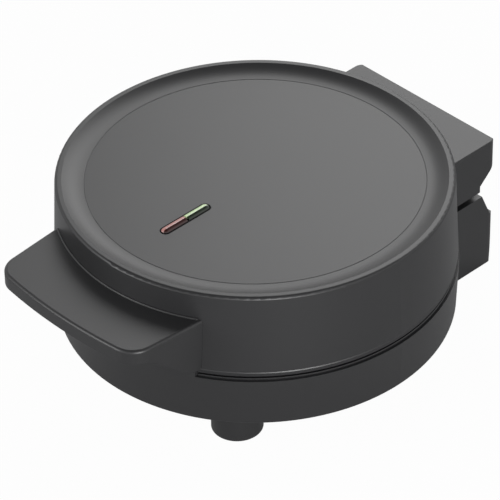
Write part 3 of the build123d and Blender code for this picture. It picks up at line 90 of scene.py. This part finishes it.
# Camera, as fitted to the outlines in the photo of 500 by 500 pixels
PHOTO_PIXELS = 500
SENSOR_MM = 36
camera_azimuth = radians(46.606)
camera_elevation = radians(37.673)
camera_roll = radians(-1.044)
camera_focal_pixels = 3662.88
camera_right_mm = -3.412
camera_up_mm = -40.182
camera_distance_mm = 1922.32
camera_back = Vector((
    sin(camera_azimuth) * cos(camera_elevation),
    -cos(camera_azimuth) * cos(camera_elevation),
    sin(camera_elevation),
))
camera_right = Vector((cos(camera_azimuth), sin(camera_azimuth), 0))


def make_camera():
    """The camera, aimed past the middle of the rim by its fitted offsets."""
    up = camera_back.cross(camera_right)
    offset = camera_right * camera_right_mm + up * camera_up_mm + camera_back * camera_distance_mm
    camera = bpy.data.objects.new("camera", bpy.data.cameras.new("camera"))
    camera.data.sensor_width = SENSOR_MM
    camera.data.lens = camera_focal_pixels / PHOTO_PIXELS * SENSOR_MM
    camera.data.clip_start = 0.1
    camera.data.clip_end = 20
    turn = Matrix((
        camera_right * cos(camera_roll) + up * sin(camera_roll),
        up * cos(camera_roll) - camera_right * sin(camera_roll),
        camera_back,
    )).transposed()
    camera.matrix_world = Matrix.Translation(Vector((0, body_y, rim_z)) + offset * MM) @ turn.to_4x4()
    scene.collection.objects.link(camera)
    scene.camera = camera


# The room's walls are white up to the first height angle and fade to a dim ceiling at the second
ceiling_start = radians(36)
ceiling_full = radians(58)
wall_white = 1.0
ceiling_dim = 0.12
fill_strength = 0.24


def make_world():
    """A white room for the camera, reflections and glass, and an even fill for all other light."""
    world = bpy.data.worlds.new("studio")
    tree = empty_tree(world)
    path = add_node(tree, "ShaderNodeLightPath").outputs
    seen = larger(tree, path["Is Camera Ray"], path["Is Transmission Ray"])
    shown = larger(tree, seen, path["Is Glossy Ray"])
    fill = add_node(tree, "ShaderNodeBackground", {
        "Color": linear("#eef0f4"), "Strength": fill_strength})
    direction = add_node(tree, "ShaderNodeTexCoord").outputs["Generated"]
    height = add_node(tree, "ShaderNodeSeparateXYZ", {}, {0: direction}).outputs["Z"]
    bright = add_node(tree, "ShaderNodeMapRange", {
        "From Min": sin(ceiling_start), "From Max": sin(ceiling_full),
        "To Min": wall_white, "To Max": ceiling_dim,
    }, {"Value": height})
    room = add_node(
        tree, "ShaderNodeBackground", {"Color": linear("#ffffff")},
        {"Strength": bright.outputs[0]},
    )
    mix = add_node(tree, "ShaderNodeMixShader", {}, {0: shown, 1: fill.outputs[0], 2: room.outputs[0]})
    add_node(tree, "ShaderNodeOutputWorld", {}, {"Surface": mix.outputs[0]})
    scene.world = world


def soft_box(name, right, near, height, size, power):
    """A square studio lamp, placed in metres to the camera's right, towards it and above the object."""
    data = bpy.data.lights.new(name, "AREA")
    data.shape = "SQUARE"
    data.size = size
    data.energy = power
    level_back = Vector((camera_back.x, camera_back.y, 0)).normalized()
    lamp = bpy.data.objects.new(name, data)
    lamp.location = object_middle + camera_right * right + level_back * near + Vector((0, 0, height))
    lamp.rotation_mode = "QUATERNION"
    lamp.rotation_quaternion = (object_middle - lamp.location).to_track_quat("-Z", "Y")
    scene.collection.objects.link(lamp)


# How much of what is seen of the floor, by the camera and in reflections or through glass, is an even
# white. The rest of it is the real floor, with the object's shadow.
FLOOR_HALF_WIDTH = 6
floor_white_seen = 0.975
floor_white_reflected = 0.12


def make_floor():
    """A pale matt floor, white to the camera, that keeps a soft shadow of the object."""
    mesh = bmesh.new()
    bmesh.ops.create_grid(mesh, x_segments=1, y_segments=1, size=FLOOR_HALF_WIDTH)
    data = bpy.data.meshes.new("floor")
    mesh.to_mesh(data)
    mesh.free()
    floor = bpy.data.objects.new("floor", data)
    scene.collection.objects.link(floor)
    material = bpy.data.materials.new("white_studio_floor")
    tree = empty_tree(material)
    path = add_node(tree, "ShaderNodeLightPath").outputs
    matt = add_node(tree, "ShaderNodeBsdfDiffuse", {"Color": linear("#c8c8c8")})
    glow = add_node(tree, "ShaderNodeEmission", {"Color": linear("#ffffff"), "Strength": 1.0})
    reflected = add_node(tree, "ShaderNodeMath", {"operation": "MULTIPLY", 1: floor_white_reflected}, {
        0: larger(tree, path["Is Glossy Ray"], path["Is Transmission Ray"])})
    white = add_node(tree, "ShaderNodeMath", {"operation": "MULTIPLY_ADD", 1: floor_white_seen}, {
        0: path["Is Camera Ray"], 2: reflected.outputs[0]})
    mix = add_node(tree, "ShaderNodeMixShader", {}, {
        0: white.outputs[0], 1: matt.outputs[0], 2: glow.outputs[0]})
    add_node(tree, "ShaderNodeOutputMaterial", {}, {"Surface": mix.outputs[0]})
    data.materials.append(material)


make_camera()
make_world()
soft_box("lamp_behind", right=0.28, near=-1.05, height=0.88, size=0.85, power=7.2)
soft_box("lamp_front_right", right=0.34, near=1.05, height=0.22, size=0.45, power=8.5)
soft_box("lamp_left", right=-1.2, near=0.44, height=0.5, size=0.6, power=7)
make_floor()


def new_material(name):
    """A material, its empty node tree, and where a point lies on its own piece."""
    material = bpy.data.materials.new(name)
    tree = empty_tree(material)
    return material, tree, add_node(tree, "ShaderNodeTexCoord").outputs["Object"]


def noise(tree, place, feature_mm, detail, distortion=0.0):
    """A cloudy pattern whose spots are about that many millimetres apart."""
    return add_node(tree, "ShaderNodeTexNoise", {
        "Scale": per_mm(feature_mm), "Detail": detail, "Distortion": distortion,
    }, {"Vector": place}).outputs[0]


def shade(tree, pattern, first, second):
    """A colour between two, picked by the pattern."""
    return add_node(tree, "ShaderNodeMix", {
        "data_type": "RGBA", 6: linear(first), 7: linear(second),
    }, {0: pattern}).outputs[2]


def spread(tree, pattern, low, high):
    """A value between two, picked by the pattern."""
    return add_node(tree, "ShaderNodeMapRange", {"To Min": low, "To Max": high}, {0: pattern}).outputs[0]


def relief(tree, pattern, strength, depth_mm):
    """The normal of a surface that the pattern raises by up to that depth."""
    return add_node(tree, "ShaderNodeBump", {
        "Strength": strength, "Distance": depth_mm * MM,
    }, {"Height": pattern}).outputs[0]


def surface(tree, settings, links):
    """The surface shader, linked to the material's output."""
    shader = add_node(tree, "ShaderNodeBsdfPrincipled", settings, links)
    add_node(tree, "ShaderNodeOutputMaterial", {}, {"Surface": shader.outputs[0]})


def clouded(name, settings, colours, roughness, feature_mm, detail, distortion=0.0, raised=None):
    """A material whose colour, roughness and any relief follow one cloudy pattern."""
    material, tree, place = new_material(name)
    pattern = noise(tree, place, feature_mm, detail, distortion)
    links = {
        "Base Color": shade(tree, pattern, *colours),
        "Roughness": spread(tree, pattern, *roughness),
    }
    if raised:
        links["Normal"] = relief(tree, pattern, **raised)
    surface(tree, settings, links)
    return material


def lined(name, colours, roughness, spacing_mm, detail):
    """A metal with fine lines, drawn out along the axis of the widest spacing of X, Y and Z."""
    material, tree, place = new_material(name)
    drawn = add_node(tree, "ShaderNodeMapping", {
        "Scale": tuple(per_mm(size) for size in spacing_mm),
    }, {"Vector": place})
    lines = add_node(tree, "ShaderNodeTexNoise", {"Scale": 1.0, "Detail": detail}, {
        "Vector": drawn.outputs[0]}).outputs[0]
    surface(tree, {"Metallic": 1.0}, {
        "Base Color": shade(tree, lines, *colours),
        "Roughness": spread(tree, lines, *roughness),
    })
    return material


def moulded_abs():
    """Dark grey ABS, injection moulded in a spark-eroded mould: satin, even, with a fine grain.

    The real grain is about 0.1 mm, too fine to show here, so it is drawn at 0.4 mm.
    """
    material, tree, place = new_material("moulded_grey_abs")
    grain = noise(tree, place, feature_mm=0.4, detail=2.0)
    flow = noise(tree, place, feature_mm=45, detail=2.0)
    surface(tree, {"IOR": 1.5}, {
        "Base Color": shade(tree, flow, "#252526", "#29292a"),
        "Roughness": spread(tree, grain, low=0.37, high=0.43),
        "Normal": relief(tree, grain, strength=0.25, depth_mm=0.006),
    })
    return material


def non_stick_coating():
    """Sprayed PTFE on cast aluminium: dark, a little glossy, with orange peel and fine mica flecks."""
    material, tree, place = new_material("sprayed_ptfe_on_cast_aluminium")
    peel = noise(tree, place, feature_mm=0.9, detail=2.0)
    cells = add_node(tree, "ShaderNodeTexVoronoi", {"Scale": per_mm(0.55)}, {"Vector": place})
    flecks = add_node(tree, "ShaderNodeMapRange", {
        "From Min": 0.0, "From Max": 0.16, "To Min": 1.0, "To Max": 0.0,
    }, {0: cells.outputs["Distance"]})
    surface(tree, {"IOR": 1.4, "Metallic": 0.25}, {
        "Base Color": shade(tree, flecks.outputs[0], "#232324", "#6f6f72"),
        "Roughness": spread(tree, peel, low=0.26, high=0.4),
        "Normal": relief(tree, peel, strength=0.4, depth_mm=0.02),
    })
    return material


def moulded_rubber():
    """Black nitrile rubber of the feet, moulded: matt, with dust caught in its fine texture."""
    material, tree, place = new_material("moulded_nitrile_rubber")
    dust = noise(tree, place, feature_mm=5, detail=5.0)
    skin = noise(tree, place, feature_mm=0.5, detail=2.0)
    surface(tree, {"IOR": 1.52}, {
        "Base Color": shade(tree, dust, "#191919", "#2e2d2b"),
        "Roughness": spread(tree, dust, low=0.7, high=0.9),
        "Normal": relief(tree, skin, strength=0.5, depth_mm=0.02),
    })
    return material


# Where the painted highlight band of a lamp window fades in and out across it, from its outer to its full
# side
painted_highlight_left_mm = (-2.35, -1.9)
painted_highlight_right_mm = (0.75, 0.15)


def tinted_polycarbonate(name, deep, pale, painted_highlight_colour):
    """A lamp window of tinted polycarbonate, moulded: glossy, dark in its depth, with a diffusing grain.

    A painted highlight: one pale band along its left half stands in for the light that passes through the
    dome and gathers on that side.
    """
    material, tree, place = new_material(name)
    grain = noise(tree, place, feature_mm=1.1, detail=2.0)
    across = add_node(tree, "ShaderNodeSeparateXYZ", {}, {0: place}).outputs["X"]
    # The painted highlight: a pale band across the left half, fading out at both sides, mixed over the
    # tint
    fades = [
        add_node(tree, "ShaderNodeMapRange", {
            "interpolation_type": "SMOOTHSTEP", "From Min": outer * MM, "From Max": full * MM,
        }, {"Value": across}).outputs[0]
        for outer, full in (painted_highlight_left_mm, painted_highlight_right_mm)
    ]
    painted_highlight_mask = add_node(tree, "ShaderNodeMath", {"operation": "MULTIPLY"}, {0: fades[0], 1: fades[1]})
    colour = add_node(tree, "ShaderNodeMix", {"data_type": "RGBA", 7: linear(painted_highlight_colour)}, {
        0: painted_highlight_mask.outputs[0], 6: shade(tree, grain, deep, pale)})
    surface(tree, {"IOR": 1.58}, {
        "Base Color": colour.outputs[2],
        "Roughness": spread(tree, grain, low=0.1, high=0.18),
    })
    return material


def bulb_glass():
    """Soda-lime glass of the indicator lamps, blown: clear, with a slightly wavy wall."""
    material, tree, place = new_material("blown_soda_lime_glass")
    wave = noise(tree, place, feature_mm=2.5, detail=1.0)
    surface(tree, {"Base Color": linear("#f4f2ec"), "IOR": 1.52, "Transmission Weight": 0.9}, {
        "Roughness": spread(tree, wave, low=0.02, high=0.07),
        "Normal": relief(tree, wave, strength=0.3, depth_mm=0.03),
    })
    return material


# The Wave texture has 20 / (2 * pi) bands in a unit at a scale of 1, so this scale gives one
WAVE_SCALE = 2 * pi / 20


def glass_fibre_braid():
    """The hinge sleeve's braided glass fibre: two sets of 0.8 mm yarns crossing at a slant.

    Its own map counts yarns round the tube and along it, so the braid follows the sleeve as it bends.
    """
    material = bpy.data.materials.new("braided_glass_fibre")
    tree = empty_tree(material)
    place = add_node(tree, "ShaderNodeTexCoord").outputs["UV"]
    yarns = []
    for lean in (-45, 45):
        turn = add_node(tree, "ShaderNodeMapping", {"Rotation": (0, 0, radians(lean))}, {
            "Vector": place})
        yarns.append(add_node(tree, "ShaderNodeTexWave", {
            "bands_direction": "X", "Scale": sqrt(2) * WAVE_SCALE, "Distortion": 0.3,
        }, {"Vector": turn.outputs[0]}).outputs["Fac"])
    cross = larger(tree, *yarns)
    surface(tree, {"Roughness": 0.6, "IOR": 1.5, "Sheen Weight": 0.2}, {
        "Base Color": shade(tree, cross, "#948b70", "#d6cfb6"),
        "Normal": relief(tree, cross, strength=0.7, depth_mm=0.15),
    })
    return material


METAL = {"Metallic": 1.0}
finishes = {
    "shell": moulded_abs(),
    # Black glass-filled PET of the rings, moulded: satin, with the faint mottle of its fibres
    "ring": clouded(
        "black_glass_filled_pet", {"IOR": 1.57}, ("#161617", "#222224"), roughness=(0.32, 0.5),
        feature_mm=1.2, detail=4.0, distortion=0.8, raised={"strength": 0.3, "depth_mm": 0.01},
    ),
    "plate": non_stick_coating(),
    # Bright rolled aluminium sheet, pressed to a pan: fine parallel rolling lines along X
    "reflector": lined(
        "rolled_aluminium", ("#c4c6c8", "#e2e3e4"), roughness=(0.18, 0.36),
        spacing_mm=(40, 0.5, 0.5), detail=3.0,
    ),
    # The element's steel sheath, drawn and annealed: dull grey oxide with brown and blue patches
    "element": clouded(
        "annealed_steel_tube", METAL, ("#54504b", "#7d7a79"), roughness=(0.4, 0.6),
        feature_mm=7, detail=5.0,
    ),
    # Zinc-plated steel of the screws, pins, bars and clip: bright, with a faint blue and yellow tint
    "steel": clouded(
        "zinc_plated_steel", METAL, ("#b9bfc6", "#d0ccbd"), roughness=(0.2, 0.38),
        feature_mm=2.5, detail=3.0,
    ),
    # Turned brass of the terminal screws: yellow, bright, with fine tool marks
    "brass": clouded(
        "turned_brass", METAL, ("#b08d4a", "#d2b06a"), roughness=(0.2, 0.35),
        feature_mm=0.3, detail=3.0,
    ),
    "foot_rubber": moulded_rubber(),
    # Black nylon of the cord gland, moulded: satin and slightly waxy
    "gland": clouded(
        "moulded_black_nylon", {"IOR": 1.53}, ("#141415", "#1f1f20"), roughness=(0.35, 0.5),
        feature_mm=3, detail=3.0,
    ),
    # Ivory polyamide of the terminal block, moulded: slightly see-through in its thin walls
    "terminal": clouded(
        "moulded_ivory_polyamide", {"IOR": 1.53, "Subsurface Weight": 0.15}, ("#d8d0b6", "#e4ddc8"),
        roughness=(0.35, 0.5), feature_mm=4, detail=3.0,
    ),
    # The thermostat's pressed aluminium cap: pale, with soft scuffs from the press
    "thermostat": clouded(
        "pressed_aluminium", METAL, ("#b4b5b6", "#cfd0d0"), roughness=(0.28, 0.5),
        feature_mm=1.5, detail=5.0, distortion=1.0,
    ),
    # The thermal fuse's drawn and tinned case: warm silver, with lines along its length
    "fuse": lined(
        "drawn_tinned_case", ("#c2bdb0", "#dad6cc"), roughness=(0.22, 0.4),
        spacing_mm=(0.4, 8, 0.4), detail=2.0,
    ),
    # White silicone insulation of the wires, extruded: soft sheen, faintly uneven along the run
    "wire": clouded(
        "extruded_white_silicone", {"IOR": 1.42, "Sheen Weight": 0.15}, ("#cfcdc6", "#dedcd6"),
        roughness=(0.45, 0.6), feature_mm=6, detail=3.0,
    ),
    "sleeve": glass_fibre_braid(),
    # Black ABS of the lamp bezel, moulded with a matt skin: a dark outline round the lamps
    "bezel": clouded(
        "matt_black_abs", {"IOR": 1.5, "Specular IOR Level": 0.06}, ("#050505", "#0b0b0b"),
        roughness=(0.5, 0.62), feature_mm=3, detail=2.0,
    ),
    # The last colour of each lens is its painted highlight, for the light gathered in the left of its
    # dome
    "red_lens": tinted_polycarbonate("red_polycarbonate", "#2c100e", "#3c1713", "#c98d86"),
    "green_lens": tinted_polycarbonate("green_polycarbonate", "#101a0d", "#1c2a17", "#e4ffc6"),
    # Brown phenolic paper board of the lamps: sawn edges, fine paper fibres, a thin gloss
    "board": clouded(
        "phenolic_paper_laminate", {"IOR": 1.55}, ("#8a6636", "#a47d48"), roughness=(0.4, 0.6),
        feature_mm=0.8, detail=6.0, distortion=1.5,
    ),
    "lamp": bulb_glass(),
}
for part in frame["record"]["subparts"]:
    node = frame["nodes"][part["node"]]
    for place in node.material_slots:
        place.material = finishes[part["material_slot"]]

SLEEVE_SIDES = 32
SLEEVE_YARNS = 14
SLEEVE_STEP_MM = 0.5


def make_hinge_sleeve():
    """The braided sleeve round the wires: one flexible tube from the base, past the hinge, to the lid."""
    base_low, base_high = (Vector(corner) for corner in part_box("base_sleeve"))
    lid_low, lid_high = (Vector(corner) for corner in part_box("lid_sleeve"))
    radius = (base_high.x - base_low.x) / 2
    middle = (base_low + lid_high) / 2
    length = lid_high.z - base_low.z
    steps = round(length / (SLEEVE_STEP_MM * MM))
    mesh = bmesh.new()
    bmesh.ops.create_circle(mesh, cap_ends=True, segments=SLEEVE_SIDES, radius=radius)
    bmesh.ops.translate(mesh, verts=mesh.verts[:], vec=(middle.x, middle.y, base_low.z))
    rim = mesh.edges[:]
    for _ in range(steps):
        grown = bmesh.ops.extrude_edge_only(mesh, edges=rim)["geom"]
        corners = {item for item in grown if isinstance(item, bmesh.types.BMVert)}
        edges = [item for item in grown if isinstance(item, bmesh.types.BMEdge)]
        rim = [edge for edge in edges if corners.issuperset(edge.verts)]
        bmesh.ops.translate(mesh, verts=list(corners), vec=(0, 0, length / steps))
    bmesh.ops.contextual_create(mesh, geom=rim)
    bmesh.ops.recalc_face_normals(mesh, faces=mesh.faces[:])
    # The braid's map, in yarns round the tube and along it. Its corners are counted from the middle of
    # their face, so the face at the seam is not smeared round the tube.
    yarn_width = 2 * pi * radius / SLEEVE_YARNS
    layer = mesh.loops.layers.uv.new("braid")
    for face in mesh.faces:
        face.smooth = len(face.verts) == 4
        centre = face.calc_center_median() - middle
        facing = atan2(centre.y, centre.x)
        for corner in face.loops:
            spot = corner.vert.co - middle
            angle = facing + remainder(atan2(spot.y, spot.x) - facing, 2 * pi)
            corner[layer].uv = (angle / (2 * pi) * SLEEVE_YARNS, spot.z / yarn_width)
    data = bpy.data.meshes.new("hinge_sleeve")
    mesh.to_mesh(data)
    mesh.free()
    data.materials.append(finishes["sleeve"])
    sleeve = bpy.data.objects.new("hinge_sleeve", data)
    scene.collection.objects.link(sleeve)
    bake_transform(sleeve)
    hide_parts("base_sleeve", "lid_sleeve")


make_hinge_sleeve()
